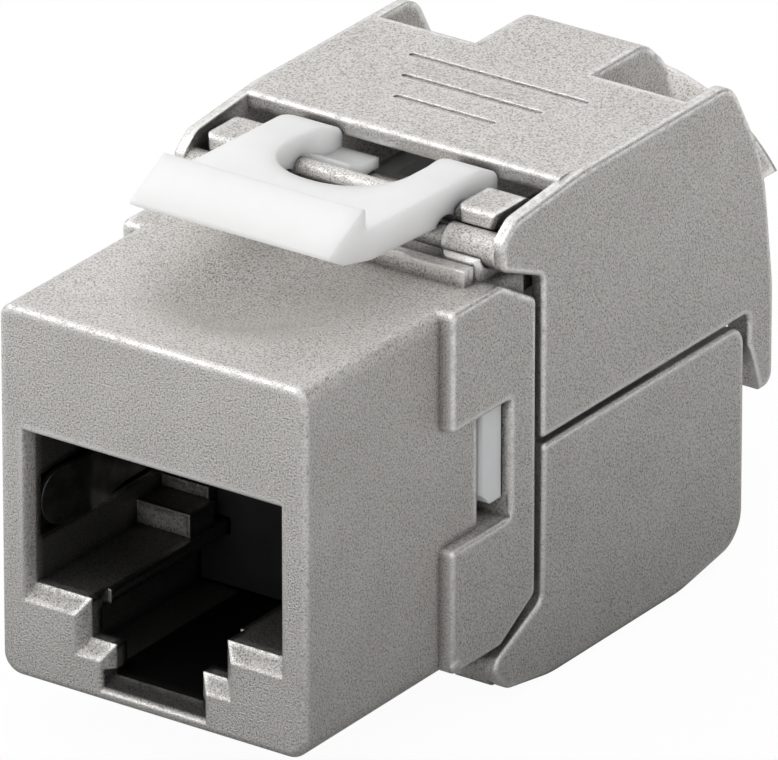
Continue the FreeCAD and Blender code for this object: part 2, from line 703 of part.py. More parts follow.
def upper_side_wall():
    """The upper cover's right wall, with the snap arm at its rear."""
    hinge_y = UPPER_HINGE_Y
    hinge_z = UPPER_HINGE_Z
    points = [
        (COVER_FRONT, SEAM_TOP, 0.2),
        (COVER_FRONT, hinge_z - 1.75, 0.5),
        (hinge_y - 0.5, hinge_z - 0.6, 0.4),
        (hinge_y - 0.65, hinge_z + 0.6, 0.6),
        (hinge_y + 0.3, hinge_z + 1.35, 0.9),
        (COVER_PLATE_FRONT + 1.0, COVER_TOP, 6.0),
        (COVER_REAR - 1.05, COVER_TOP, 1.5),
        (ARM_REAR - 0.75, COVER_TOP - 4.2, 9.0),
        (ARM_REAR, ARM_FOOT + 4.5, 8.0),
        (ARM_REAR, ARM_FOOT, 0.6),
        (ARM_FRONT, ARM_FOOT, 0.3),
        (ARM_FRONT, SEAM_TOP, 0.4),
    ]
    corner_y = COVER_REAR - LOWER_REAR_RADIUS - LOWER_HINGE_Y
    corner_z = SEAM_BOTTOM - LOWER_REAR_RADIUS - LOWER_HINGE_Z
    reach = math.hypot(corner_y, corner_z) + LOWER_REAR_RADIUS
    sweep = rod_x(LOWER_HINGE_Y, LOWER_HINGE_Z, reach + ARM_CLEARANCE, (CHAMBER_HALF, SIDE + 1))
    arm_rise = (ARM_FOOT - 1, SEAM_TOP - OVERLAP)
    arm_zone = box((CHAMBER_HALF, SIDE + 1), (REAR_WALL_FRONT, ARM_REAR + 1), arm_rise)
    wall = cover_wall(points)
    inner_zone = box((SIDE - ARM_WIDTH, INSIDE + OVERLAP), (ARM_FRONT, ARM_REAR), (ARM_FOOT, COVER_TOP))
    arm = slab(points, "YZ", (SIDE - ARM_WIDTH, INSIDE + OVERLAP)).common(inner_zone)
    return joined([wall, arm]).cut(sweep.common(arm_zone))


def tongue_side(skin):
    """The tongue's side view, moved inwards by a skin's thickness."""
    start = COVER_PLATE_REAR - 2 * ROOT - skin
    foot = COVER_TOP - 3.5 - skin
    return [
        (start, COVER_TOP - skin),
        (TONGUE_REAR - 2.2 - skin / 2, COVER_TOP - skin, 1.8 - skin / 2),
        (TONGUE_REAR - 0.65 - skin, COVER_TOP - 1.4 - skin / 2, 2.2 - skin / 2),
        (TONGUE_REAR - skin, foot, 0.3),
        (start, foot),
    ]


def tongue():
    """The hooded tongue behind the top plate, curved down at its end."""
    half = TONGUE_WIDTH / 2
    hood = slab(tongue_side(0), "YZ", (-half, half))
    rims = edges_at(hood, X=half) + edges_at(hood, X=-half)
    hood = hood.makeFillet(EDGE_SOFTENING / 2, rims)
    inner_half = half - COVER_WALL
    return hood.cut(slab(tongue_side(TONGUE_SKIN), "YZ", (-inner_half, inner_half)))


def horn():
    """The flared lip over the cable, an arch about the cable's axis."""
    bend = HORN_REAR - 1.9
    rim = HORN_RIM_RADIUS - HORN_WALL / 3
    path = [
        (HORN_NECK_RADIUS, REAR_WALL_FRONT),
        (HORN_NECK_RADIUS, bend, 2.0),
        (rim, HORN_REAR, HORN_WALL / 3),
    ]
    strip = ribbon(path, HORN_WALL, "XY", (SEAM_HEIGHT, SEAM_HEIGHT + 1))
    face = [face for face in strip.Faces if face.BoundBox.ZMax < SEAM_HEIGHT + OVERLAP][0].copy()
    centre = FreeCAD.Vector(0, 0, SEAM_HEIGHT)
    axis = FreeCAD.Vector(0, -1, 0)
    face.rotate(centre, axis, HORN_START_DEG)
    return face.revolve(centre, axis, 180 - 2 * HORN_START_DEG)


def cable_hole():
    """The round hole for the cable, which the two covers share."""
    return rod_y(0, SEAM_HEIGHT, CABLE_RADIUS, (REAR_WALL_FRONT - 1, COVER_REAR + 1))


def grip_grooves():
    """Shallow grooves across the top plate, longest at the rear."""
    grooves = []
    edge = GROOVE_WIDTH / 2 - 0.01
    for index in range(GROOVE_COUNT):
        centre = COVER_PLATE_REAR - GROOVE_SETBACK - index * GROOVE_PITCH
        half_length = GROOVE_HALF_LENGTH - index * GROOVE_TAPER
        points = [
            (-half_length, centre - GROOVE_WIDTH / 2, edge),
            (half_length, centre - GROOVE_WIDTH / 2, edge),
            (half_length, centre + GROOVE_WIDTH / 2, edge),
            (-half_length, centre + GROOVE_WIDTH / 2, edge),
        ]
        grooves.append(slab(points, "XY", (COVER_TOP - GROOVE_DEPTH, COVER_TOP + 1)))
    return grooves


def press_ribs(z_limits):
    """Two ribs inside a cover that press the wire manager home."""
    x_limits = (PRESS_RIB_INNER, PRESS_RIB_INNER + PRESS_RIB_THICKNESS)
    return both_sides(box(x_limits, (MANAGER_FRONT + 1, MANAGER_REAR), z_limits))


def top_plate():
    """The upper cover's flat plate, with a rounded front edge."""
    plate = box(PLATE_LIMITS, (COVER_PLATE_FRONT, COVER_PLATE_REAR), (PLATE_UNDERSIDE, COVER_TOP))
    return plate.makeFillet(PLATE_EDGE_RADIUS, edges_at(plate, Y=COVER_PLATE_FRONT, Z=COVER_TOP))


def upper_cover():
    """The hinged upper cover with tongue, flared lip and snap arms."""
    press_top = SEAM_HEIGHT + MANAGER_HALF_HEIGHT + COVER_PRESS_GAP
    wall_top = SEAM_HEIGHT + HORN_NECK_RADIUS + 2 * COVER_WALL
    rear_wall = box(PLATE_LIMITS, (REAR_WALL_FRONT, COVER_REAR), (SEAM_TOP, wall_top))
    pieces = [top_plate(), tongue(), horn(), rear_wall.cut(cable_hole())]
    pieces += both_sides(upper_side_wall())
    pieces += press_ribs((press_top, PLATE_UNDERSIDE + OVERLAP))
    pieces += hinge_bar(UPPER_HINGE_Y, UPPER_HINGE_Z)
    return joined(pieces).cut(grip_grooves())


def lower_side_wall():
    """The lower cover's right wall."""
    hinge_y = LOWER_HINGE_Y
    hinge_z = LOWER_HINGE_Z
    points = [
        (COVER_FRONT + OVERLAP, SEAM_BOTTOM, 0.2),
        (COVER_REAR, SEAM_BOTTOM, LOWER_REAR_RADIUS),
        (COVER_REAR, COVER_FOOT + LOWER_HEEL_RISE, 1.6),
        (COVER_REAR - LOWER_HEEL_LENGTH, COVER_FOOT, 6.0),
        (hinge_y + 3.2, COVER_FOOT, 6.0),
        (hinge_y + 0.2, hinge_z - 1.15, 1.0),
        (hinge_y - 0.85, hinge_z - 0.3, 0.6),
        (hinge_y - 0.6, hinge_z + 0.45, 0.4),
        (COVER_FRONT, hinge_z + 1.85, 0.5),
    ]
    return cover_wall(points)


def lower_plate():
    """The lower cover's bottom and rear wall in one bent plate."""
    front = LOWER_HINGE_Y + PLATE_SETBACK
    heel = COVER_REAR - LOWER_HEEL_LENGTH
    points = [
        (front, COVER_FOOT),
        (heel, COVER_FOOT, 6.0),
        (COVER_REAR, COVER_FOOT + LOWER_HEEL_RISE, 1.6),
        (COVER_REAR, SEAM_BOTTOM),
        (REAR_WALL_FRONT, SEAM_BOTTOM),
        (REAR_WALL_FRONT, COVER_FOOT + LOWER_HEEL_RISE + COVER_WALL, 0.9),
        (heel, COVER_FOOT + COVER_WALL, 6.0),
        (front, COVER_FOOT + COVER_WALL),
    ]
    plate = slab(points, "YZ", PLATE_LIMITS)
    corner_z = (SEAM_BOTTOM - LOWER_REAR_RADIUS, SEAM_TOP)
    corner = box((SIDE - 1.2, SIDE + 1), (REAR_WALL_FRONT - 1, COVER_REAR + 1), corner_z)
    return plate.cut(both_sides(corner) + [cable_hole()])


def lower_cover():
    """The hinged lower cover: side walls, bent plate and press ribs."""
    press_foot = SEAM_HEIGHT - MANAGER_HALF_HEIGHT - COVER_PRESS_GAP
    pieces = [lower_plate()] + both_sides(lower_side_wall())
    pieces += press_ribs((COVER_FOOT + COVER_WALL - OVERLAP, press_foot))
    pieces += hinge_bar(LOWER_HINGE_Y, LOWER_HINGE_Z)
    return joined(pieces)


def contact_places():
    """The X of each contact, first on the left seen from the plug side."""
    middle = (CONTACT_COUNT - 1) / 2
    return [(index - middle) * CONTACT_PITCH for index in range(CONTACT_COUNT)]


def contact_tail(index):
    """The height at which one contact meets the board; neighbours alternate."""
    return SOCKET_TOP + CONTACT_TAIL_RISES[index % 2]


def contact(index, place):
    """One spring contact bent from flat wire, from the board back into the socket."""
    run = SOCKET_TOP + CONTACT_RUN_RISE
    path = [
        (BOARD_BACK, contact_tail(index)),
        (CARRIER_CHAMBER_END - 1.1, contact_tail(index), 0.3),
        (CARRIER_CHAMBER_END - 1.9, run, 0.3),
        (CARRIER_FRONT + 0.5, run, 0.45),
        (CARRIER_FRONT + 0.75, SOCKET_TOP - 0.15, 0.45),
        (CARRIER_CHAMBER_END - CARRIER_BACK_WALL - 0.5, SHELF + 4.6),
    ]
    limits = (place - CONTACT_WIDTH / 2, place + CONTACT_WIDTH / 2)
    return ribbon(path, CONTACT_THICKNESS, "YZ", limits)


def contact_carrier():
    """The black insert that guides the contacts and closes the socket's back."""
    wide = SOCKET_WIDTH / 2 - CARRIER_FIT
    back = CARRIER_BACK
    wall_front = back - CARRIER_BACK_WALL
    roof = CHAMBER_ROOF - CARRIER_FIT
    block = box((-wide, wide), (CARRIER_FRONT, back), (SOCKET_TOP + CARRIER_FIT, roof))
    wall = box((-wide, wide), (wall_front, back), (SHELF + CARRIER_FIT, SOCKET_TOP + OVERLAP + CARRIER_FIT))
    band_half = SPRING_HEIGHT / 2 + SPRING_ROOM
    band = (SPRING_CENTRE_Z - band_half, SPRING_CENTRE_Z + band_half)
    spring_relief = box((wide - SPRING_BOW, wide + 1), (wall_front - 1, back + 1), band)
    neck_half = SHELF_GAP / 2 - CARRIER_FIT
    skirt_half = TAB_CHANNEL_WIDTH / 2 - CARRIER_FIT
    skirt_top = SHELF - SHELF_THICKNESS - CARRIER_FIT
    skirt_foot = SHELF - SLOT_DROP + CARRIER_FIT
    neck = box((-neck_half, neck_half), (wall_front, back), (skirt_top - OVERLAP, SHELF + 2 * CARRIER_FIT))
    skirt = box((-skirt_half, skirt_half), (wall_front, back), (skirt_foot, skirt_top))
    carrier = joined([block, wall, neck, skirt]).cut(both_sides(spring_relief))
    slot_top = SOCKET_TOP + CONTACT_TAIL_RISES[1] + CONTACT_THICKNESS
    run_foot = SOCKET_TOP + CONTACT_RUN_RISE - CONTACT_THICKNESS - SPRING_POCKET / 2
    slots = []
    for place in contact_places():
        limits = (place - CONTACT_SLOT / 2, place + CONTACT_SLOT / 2)
        slots.append(box(limits, (CARRIER_FRONT + 0.3, back - 0.2), (SOCKET_TOP, slot_top)))
        slots.append(box(limits, (wall_front - OVERLAP, back + OVERLAP), (run_foot, slot_top)))
        slots.append(box(limits, (wall_front - OVERLAP, back - 0.2), (SHELF + 3.6, run_foot)))
    return carrier.cut(slots)


def terminal_places():
    """The (x, z) of each wire terminal, upper row first."""
    middle = (TERMINAL_COLUMNS - 1) / 2
    places = []
    for side in (1, -1):
        for column in range(TERMINAL_COLUMNS):
            x = (column - middle) * TERMINAL_PITCH
            places.append((x, (REAR_ROOF + REAR_FLOOR) / 2 + side * TERMINAL_ROW_OFFSET))
    return places


def circuit_board():
    """The board between the contacts and the wire terminals."""
    half = CHAMBER_HALF - BOARD_FIT
    reach = (BOARD_FRONT, BOARD_BACK)
    board = box((-half, half), reach, (REAR_FLOOR + BOARD_FIT, REAR_ROOF - BOARD_FIT))
    holes = []
    for index, place in enumerate(contact_places()):
        holes.append(rod_y(place, contact_tail(index), CONTACT_HOLE_RADIUS, reach))
    for x, z in terminal_places():
        holes.append(rod_y(x, z, BLADE_HOLE_RADIUS, reach))
    return board.cut(holes)


def blade(place):
    """One forked wire terminal with its pin in the board."""
    x, z = place
    half = BLADE_WIDTH / 2
    slot = BLADE_SLOT / 2
    pin = BLADE_PIN_WIDTH / 2
    shoulder = BLOCK_FACE + BLADE_SHOULDER
    end = TOWER_END - BLADE_RECESS
    right = [
        (pin, BOARD_FRONT),
        (pin, shoulder),
        (half, shoulder),
        (half, end),
        (slot + 0.3, end),
        (slot, end - 0.8),
        (slot, end - BLADE_SLOT_DEPTH),
    ]
    points = [(x + reach, y) for reach, y in right]
    points += [(x - reach, y) for reach, y in reversed(right)]
    return slab(points, "XY", (z - BLADE_THICKNESS / 2, z + BLADE_THICKNESS / 2))


def blade_pocket(place):
    """The space that one wire terminal fills in the terminal block."""
    x, z = place
    half = BLADE_WIDTH / 2 + BLADE_CLEARANCE
    pin = BLADE_PIN_WIDTH / 2 + BLADE_CLEARANCE
    thick = BLADE_THICKNESS / 2 + BLADE_CLEARANCE
    shoulder = BLOCK_FACE + BLADE_SHOULDER - BLADE_CLEARANCE
    body = box((x - half, x + half), (shoulder, TOWER_END + 1), (z - thick, z + thick))
    hole = box((x - pin, x + pin), (BLOCK_FACE - 1, shoulder + 1), (z - thick, z + thick))
    return [body, hole]


def window_catch():
    """The terminal block's right catch, which snaps into the housing's window."""
    top = WINDOW_TOP - CATCH_WINDOW_GAP
    foot = top - CATCH_HEIGHT
    rear = WINDOW_REAR - CATCH_WINDOW_GAP
    front = rear - CATCH_LENGTH
    points = [
        (front, top),
        (front, foot + CATCH_CORNER),
        (front + CATCH_CORNER, foot),
        (rear, foot),
        (rear, top),
    ]
    root = CHAMBER_HALF - BOARD_FIT
    return slab(points, "YZ", (root - OVERLAP, root + CATCH_REACH))


def terminal_block():
    """The white block with eight slotted towers and a catch on each side."""
    half = CHAMBER_HALF - BOARD_FIT
    base = box((-half, half), (BLOCK_FACE, BLOCK_LENGTH), (REAR_FLOOR + BOARD_FIT, REAR_ROOF - BOARD_FIT))
    towers = []
    cuts = []
    slot = TOWER_SLOT / 2
    for place in terminal_places():
        x, z = place
        left = x - TOWER_WIDTH / 2
        right = x + TOWER_WIDTH / 2
        low = z - TOWER_HEIGHT / 2
        high = z + TOWER_HEIGHT / 2
        tower = [
            (left, low, TOWER_CORNER),
            (right, low, TOWER_CORNER),
            (right, high, TOWER_CORNER),
            (left, high, TOWER_CORNER),
        ]
        towers.append(slab(tower, "XZ", (BLOCK_LENGTH - ROOT, TOWER_END)))
        slot_reach = (TOWER_END - TOWER_SLOT_DEPTH, TOWER_END + 1)
        cuts.append(box((x - slot, x + slot), slot_reach, (low - 1, high + 1)))
        cuts += blade_pocket(place)
    return joined([base] + both_sides(window_catch()) + towers).cut(cuts)


def manager_side():
    """The wire manager's side view, chamfered at the cable end."""
    run, rise = MANAGER_CHAMFER
    high = MANAGER_HALF_HEIGHT
    return [
        (MANAGER_FRONT, SEAM_HEIGHT - high, 0.3),
        (MANAGER_REAR - run, SEAM_HEIGHT - high, 0.5),
        (MANAGER_REAR, SEAM_HEIGHT - high + rise, 0.5),
        (MANAGER_REAR, SEAM_HEIGHT + high - rise, 0.5),
        (MANAGER_REAR - run, SEAM_HEIGHT + high, 0.5),
        (MANAGER_FRONT, SEAM_HEIGHT + high, 0.3),
    ]


def wire_manager():
    """The wire holder that slides over the towers, with the cable's bore."""
    body = slab(manager_side(), "YZ", (-MANAGER_HALF_WIDTH, MANAGER_HALF_WIDTH))
    bore_front = MANAGER_FRONT + MANAGER_WEB
    cuts = [rod_y(0, SEAM_HEIGHT, MANAGER_BORE, (bore_front, MANAGER_REAR + 1))]
    cuts.append(rod_y(0, SEAM_HEIGHT, MANAGER_THROAT_RADIUS, (MANAGER_FRONT - 1, bore_front + ROOT)))
    half_x = TOWER_WIDTH / 2 + MANAGER_FIT
    half_z = TOWER_HEIGHT / 2 + MANAGER_FIT
    slot = WIRE_SLOT / 2
    socket_end = TOWER_END + MANAGER_FIT
    slot_reach = (socket_end + WIRE_SLOT_WEB, MANAGER_REAR + 1)
    for x, z in terminal_places():
        away = 1 if z > SEAM_HEIGHT else -1
        edge = SEAM_HEIGHT + away * MANAGER_HALF_HEIGHT
        slot_rise = sorted((edge - away * WIRE_SLOT_DEPTH, edge + away))
        socket_rise = (z - half_z, z + half_z)
        cuts.append(box((x - half_x, x + half_x), (MANAGER_FRONT - 1, socket_end), socket_rise))
        cuts.append(box((x - slot, x + slot), slot_reach, slot_rise))
    return body.cut(cuts)


def nodes():
    """Every separate piece by name."""
    pieces = {
        "front_housing": front_housing(),
        "latch_clip": latch_clip(),
        "upper_cover": upper_cover(),
        "lower_cover": lower_cover(),
        "shield_spring_right": shield_spring(),
        "shield_spring_left": mirrored(shield_spring()),
        "contact_carrier": contact_carrier(),
        "circuit_board": circuit_board(),
        "terminal_block": terminal_block(),
        "wire_manager": wire_manager(),
    }
    for index, place in enumerate(contact_places()):
        pieces[f"contact_{index + 1}"] = contact(index, place)
    for index, place in enumerate(terminal_places()):
        pieces[f"wire_terminal_{index + 1}"] = blade(place)
    return pieces


def main():
    os.makedirs("parts", exist_ok=True)
    for name, shape in nodes().items():
        print(name, shape.ShapeType, len(shape.Solids), shape.isValid(), round(shape.Volume, 2))
        shape.exportStep(f"parts/{name}.step")


main()
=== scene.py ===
import json
import math

import bpy
from mathutils import Matrix, Vector


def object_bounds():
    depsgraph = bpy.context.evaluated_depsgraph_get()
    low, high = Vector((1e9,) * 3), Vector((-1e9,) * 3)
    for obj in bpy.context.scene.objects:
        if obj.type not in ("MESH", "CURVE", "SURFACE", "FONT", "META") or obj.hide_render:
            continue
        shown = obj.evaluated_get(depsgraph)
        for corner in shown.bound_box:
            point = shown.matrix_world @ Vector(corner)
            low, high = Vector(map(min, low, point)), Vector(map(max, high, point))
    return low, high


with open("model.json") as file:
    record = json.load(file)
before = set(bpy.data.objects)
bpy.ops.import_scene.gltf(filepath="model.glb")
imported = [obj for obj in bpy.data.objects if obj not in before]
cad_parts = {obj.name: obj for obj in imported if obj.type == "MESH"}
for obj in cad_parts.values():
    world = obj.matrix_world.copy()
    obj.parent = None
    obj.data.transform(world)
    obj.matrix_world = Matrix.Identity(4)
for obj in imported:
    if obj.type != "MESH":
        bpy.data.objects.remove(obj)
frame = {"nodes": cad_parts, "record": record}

# Looks of the keystone jack: materials, studio and camera. Lengths are metres.
MM = 0.001
CAD_BOX = [list(corner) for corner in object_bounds()]

# Camera: a long lens at the height and side the object is usually shown from
VIEW_AZIMUTH = 34.946
VIEW_ELEVATION = 24.67
VIEW_DISTANCE = 600 * MM
VIEW_TARGET = Vector((0.1, 8, 0.8)) * MM
VIEW_SIDE_SHIFT = 4.679 * MM
VIEW_RISE_SHIFT = 3.084 * MM
VIEW_CLIP = (0.01, 10.0)
SENSOR = 36.0
FIELD_WIDTH = 30.906 * MM

# Noise: nearly all of its values lie between these two
NOISE_SPREAD = (0.3, 0.7)
# Rays that each edge or crevice sample sends out
EDGE_SAMPLES = 4

# Casting finish: satin plating over a sand-fine zinc casting
PLATING = (0.84, 0.813, 0.783)
PLATING_DARK = (0.725, 0.70, 0.672)
PLATING_CLOUD_SIZE = 3.0 * MM
PLATING_BLEND = (0.35, 1.0)
CASTING_METALLIC = 0.95
CASTING_ROUGHNESS = (0.48, 0.36)

# The grain: dark pits and polished crests
GRAIN_SIZE = 0.078 * MM
GRAIN_DEPTH = 0.075 * MM
GRAIN_DETAIL = 3.0
GRAIN_HARSHNESS = 0.7
PIT = (0.12, 0.11, 0.10)
PIT_RANGE = (0.50, 0.34)
PIT_STRENGTH = 0.85
POLISHED = (0.93, 0.92, 0.90)
CREST_RANGE = (0.50, 0.66)
CREST_STRENGTH = 0.9

# Wear: edges that stand out, where the metal is thin and the air is open, are polished
EDGE_RADIUS = 0.14 * MM
WEAR_REACH = 0.36 * MM
WEAR_THICKNESS = (0.90, 0.72)
WEAR_OPENNESS = (0.48, 0.72)
WEAR_PATCH_SIZE = 0.35 * MM
WEAR_PATCHINESS = 0.08
WEAR_STRENGTH = 0.95
WEAR_SMOOTHING = 0.3
WEAR_GRAIN_LEFT = 0.2

# Painted shade in gaps, seams and recesses: darker where the air is less open
CREVICE_SHADE = (0.025, 0.022, 0.02)
CREVICE_REACH = 0.9 * MM
CREVICE_OPENNESS = (0.64, 0.36)

# Painted shade inside the plug socket: darker from the lead-in back, within these limits
CAVITY_START = 0.0
CAVITY_FULL = 1.0 * MM
CAVITY_FADE = 9.6 * MM
CAVITY_END = 10.6 * MM
CAVITY_SIDE = 6.5 * MM
CAVITY_FLOOR = -7.15 * MM
CAVITY_ROOF = 6.8 * MM
CAVITY_EDGE = 0.05 * MM
CAVITY_SHADE = 0.2
# Inside faces that look to the front get less of the painted shade, as they catch the light
CAVITY_FRONT_SHADE = 0.3
CAVITY_FRONT_FACING = (-0.95, -0.7)

# The slot's sill: painted shade, dark behind its front edge
SILL_DEPTH = (0.04 * MM, 0.16 * MM)
SILL_HEIGHT = (-7.2 * MM, -6.1 * MM)
SILL_SIDE = 2.6 * MM
SILL_SHADE = 0.08

# Plastics: each has a colour and a slightly darker shade in soft clouds
LATCH_TONES = ((0.91, 0.91, 0.91), (0.89, 0.89, 0.89))
LATCH_GLOW = 0.95
PALE_TONES = ((0.88, 0.89, 0.90), (0.84, 0.85, 0.86))
PALE_GLOW = 0.2
BLACK_TONES = ((0.025, 0.025, 0.027), (0.015, 0.015, 0.016))
PLASTIC_CLOUD_SIZE = 1.5 * MM
PLASTIC_CLOUD_RANGE = (0.35, 0.7)
PLASTIC_GRAIN_SIZE = 0.25 * MM
PLASTIC_GRAIN_DEPTH = 0.004 * MM
PLASTIC_GRAIN_STRENGTH = 0.5
PLASTIC_ROUGHNESS = 0.45
BLACK_ROUGHNESS = 0.5
PLASTIC_ROUGHNESS_SPREAD = 0.06
PLASTIC_EDGE_RADIUS = 0.12 * MM
PLASTIC_GLOW_DEPTH = 2.5 * MM

# Rolled strips: colour, shade and roughness, with streaks along the Y axis
SPRING_TONES = ((0.30, 0.295, 0.29), (0.20, 0.195, 0.19))
SPRING_ROUGHNESS = 0.35
GOLD_TONES = ((0.95, 0.72, 0.30), (0.80, 0.56, 0.22))
GOLD_ROUGHNESS = 0.25
TIN_TONES = ((0.75, 0.75, 0.74), (0.60, 0.60, 0.59))
TIN_ROUGHNESS = 0.35
STREAK_STRETCH = (1.0, 0.08, 1.0)
STREAK_SIZE = 0.08 * MM
STREAK_DEPTH = 0.004 * MM
STREAK_STRENGTH = 0.4
STREAK_SMOOTHER = 0.08
STREAK_ROUGHER = 0.1
STRIP_CLOUD_SIZE = 0.9 * MM
STRIP_CLOUD_RANGE = (0.35, 0.65)
STRIP_EDGE_RADIUS = 0.04 * MM

# Circuit board: green solder mask over a woven laminate
BOARD_TONES = ((0.03, 0.18, 0.07), (0.02, 0.13, 0.05))
BOARD_CLOUD_SIZE = 1.2 * MM
BOARD_CLOUD_RANGE = (0.4, 0.6)
BOARD_ROUGHNESS = (0.25, 0.4)
WEAVE_SIZE = 0.2 * MM
WEAVE_DEPTH = 0.004 * MM
WEAVE_STRENGTH = 0.4

# Floor: a painted shadow makes it darker under the object, almost clear to the camera
FLOOR_SIZE = 4.0
FLOOR_GAP = 0.02 * MM
FLOOR_CENTRE = Vector((0, 12, 0)) * MM
FLOOR_STRETCH = (1.0, 0.5, 0.0)
FLOOR_NEAR = 8 * MM
FLOOR_FAR = 50 * MM
FLOOR_SHADOW_TONE = (0.17, 0.17, 0.17)
FLOOR_PALE = (0.86, 0.86, 0.86)
FLOOR_SPECKLE = (0.9, 0.9, 0.9)
FLOOR_SPECKLE_SIZE = 3 * MM
FLOOR_SPECKLE_STRENGTH = 0.05
FLOOR_SHOWN = (0.96, 0.96, 0.96)
FLOOR_CLEAR = 0.96
FLOOR_ROUGHNESS = 0.9

# Sky: brightest overhead and on the left, with one dark flag behind on the right
SKY_RANGE = (-0.05, 0.45)
SKY_LEVELS = (0.45, 1.05)
SKY_BRIGHT_SIDE = (-0.9, -0.3, 0)
SKY_SIDE_LEVELS = (0.75, 1.1)
FLAG_DIRECTION = (0.60, 0.745, 0.25)
FLAG_RANGE = (0.83, 0.95)
FLAG_LEVEL = 0.0

# Key light: soft, from the front left, high up
KEY_PLACE = Vector((-0.31, -0.25, 0.45))
KEY_TARGET = Vector((0, 14, 0)) * MM
KEY_SIZE = 0.25
KEY_POWER = 0.6


class Shader:
    """Builds one material's nodes: each call adds a node and returns its output."""

    def __init__(self, name):
        self.material = bpy.data.materials.new(name)
        self.material.use_nodes = True
        self.tree = self.material.node_tree
        self.surface = self.tree.nodes["Principled BSDF"]
        self.coords = self.add("ShaderNodeTexCoord").outputs["Object"]

    def add(self, kind, **settings):
        """A new node with these settings."""
        node = self.tree.nodes.new(kind)
        for key, value in settings.items():
            setattr(node, key, value)
        return node

    def feed(self, socket, value):
        """Links a socket to another node's output, or sets it to a value."""
        if isinstance(value, bpy.types.NodeSocket):
            self.tree.links.new(value, socket)
        else:
            socket.default_value = value

    def noise(self, size, detail=2.0, roughness=0.5, coords=None):
        """Noise whose features are about one size across."""
        node = self.add("ShaderNodeTexNoise")
        self.feed(node.inputs["Vector"], coords or self.coords)
        node.inputs["Scale"].default_value = 1 / size
        node.inputs["Detail"].default_value = detail
        node.inputs["Roughness"].default_value = roughness
        return node.outputs["Fac"]

    def ramp(self, value, low, high, start=0.0, end=1.0):
        """A value spread from one range onto another, clamped."""
        node = self.add("ShaderNodeMapRange")
        self.feed(node.inputs["Value"], value)
        limits = {"From Min": low, "From Max": high, "To Min": start, "To Max": end}
        for name, number in limits.items():
            node.inputs[name].default_value = number
        return node.outputs["Result"]

    def math(self, operation, first, second):
        """The sum, product or other result of two values."""
        node = self.add("ShaderNodeMath", operation=operation)
        self.feed(node.inputs[0], first)
        self.feed(node.inputs[1], second)
        return node.outputs[0]

    def mix(self, factor, first, second):
        """A blend of two colours."""
        node = self.add("ShaderNodeMix", data_type="RGBA")
        self.feed(node.inputs["Factor"], factor)
        colours = [socket for socket in node.inputs if socket.type == "RGBA"]
        for socket, colour in zip(colours, (first, second)):
            linked = isinstance(colour, bpy.types.NodeSocket)
            self.feed(socket, colour if linked else (*colour, 1.0))
        return [socket for socket in node.outputs if socket.type == "RGBA"][0]

    def blend(self, factor, first, second):
        """A blend of two finished surfaces."""
        node = self.add("ShaderNodeMixShader")
        for socket, value in zip(node.inputs, (factor, first, second)):
            self.feed(socket, value)
        return node.outputs["Shader"]

    def scale(self, colour, factor):
        """A colour made darker by a factor."""
        node = self.add("ShaderNodeVectorMath", operation="SCALE")
        self.feed(node.inputs[0], colour)
        self.feed(node.inputs["Scale"], factor)
        return node.outputs["Vector"]

    def rounded(self, radius):
        """The surface normal, softened near edges."""
        node = self.add("ShaderNodeBevel", samples=EDGE_SAMPLES)
        node.inputs["Radius"].default_value = radius
        return node.outputs["Normal"]

    def openness(self, reach, inside=False):
        """1 in the open and less in crevices, or inside the metal 1 where it is thick and less
        at edges."""
        node = self.add("ShaderNodeAmbientOcclusion", samples=EDGE_SAMPLES, inside=inside)
        node.inputs["Distance"].default_value = reach
        return node.outputs["AO"]

    def bump(self, height, distance, strength, normal=None):
        """The surface normal, tilted by a height that varies over the surface."""
        node = self.add("ShaderNodeBump")
        self.feed(node.inputs["Strength"], strength)
        node.inputs["Distance"].default_value = distance
        self.feed(node.inputs["Height"], height)
        if normal is not None:
            self.feed(node.inputs["Normal"], normal)
        return node.outputs["Normal"]

    def finish(self, **inputs):
        """Sets the surface's inputs by name and returns the material."""
        for name, value in inputs.items():
            socket = self.surface.inputs[name.replace("_", " ").title()]
            if isinstance(value, tuple):
                value = (*value, 1.0)
            self.feed(socket, value)
        return self.material


def inside(s, value, low, high):
    """1 between two limits, 0 outside, with soft ends."""
    above = s.ramp(value, low, low + CAVITY_EDGE)
    return s.math("MULTIPLY", above, s.ramp(value, high, high - CAVITY_EDGE))


def cavity(s):
    """1 in the open, falling to a darker painted shade inside the plug socket and on the
    slot's sill.
    """
    place = s.add("ShaderNodeSeparateXYZ")
    s.feed(place.inputs[0], s.coords)
    across, depth, height = place.outputs
    past_front = s.ramp(depth, CAVITY_START, CAVITY_FULL)
    deep = s.math("MULTIPLY", past_front, s.ramp(depth, CAVITY_END, CAVITY_FADE))
    wide = inside(s, across, -CAVITY_SIDE, CAVITY_SIDE)
    high = inside(s, height, CAVITY_FLOOR, CAVITY_ROOF)
    mask = s.math("MULTIPLY", deep, s.math("MULTIPLY", wide, high))

    # Painted shade is lighter on faces that look to the front, as they catch the light
    facing = s.add("ShaderNodeSeparateXYZ")
    s.feed(facing.inputs[0], s.add("ShaderNodeNewGeometry").outputs["Normal"])
    turned = s.ramp(facing.outputs["Y"], *CAVITY_FRONT_FACING, CAVITY_FRONT_SHADE, 1.0)
    shade = s.ramp(s.math("MULTIPLY", mask, turned), 0.0, 1.0, 1.0, CAVITY_SHADE)

    # Painted shade on the slot's sill, just behind its front edge
    sill = s.math("MULTIPLY", s.ramp(depth, *SILL_DEPTH), inside(s, height, *SILL_HEIGHT))
    sill = s.math("MULTIPLY", sill, inside(s, across, -SILL_SIDE, SILL_SIDE))
    return s.math("MULTIPLY", shade, s.ramp(sill, 0.0, 1.0, 1.0, SILL_SHADE))


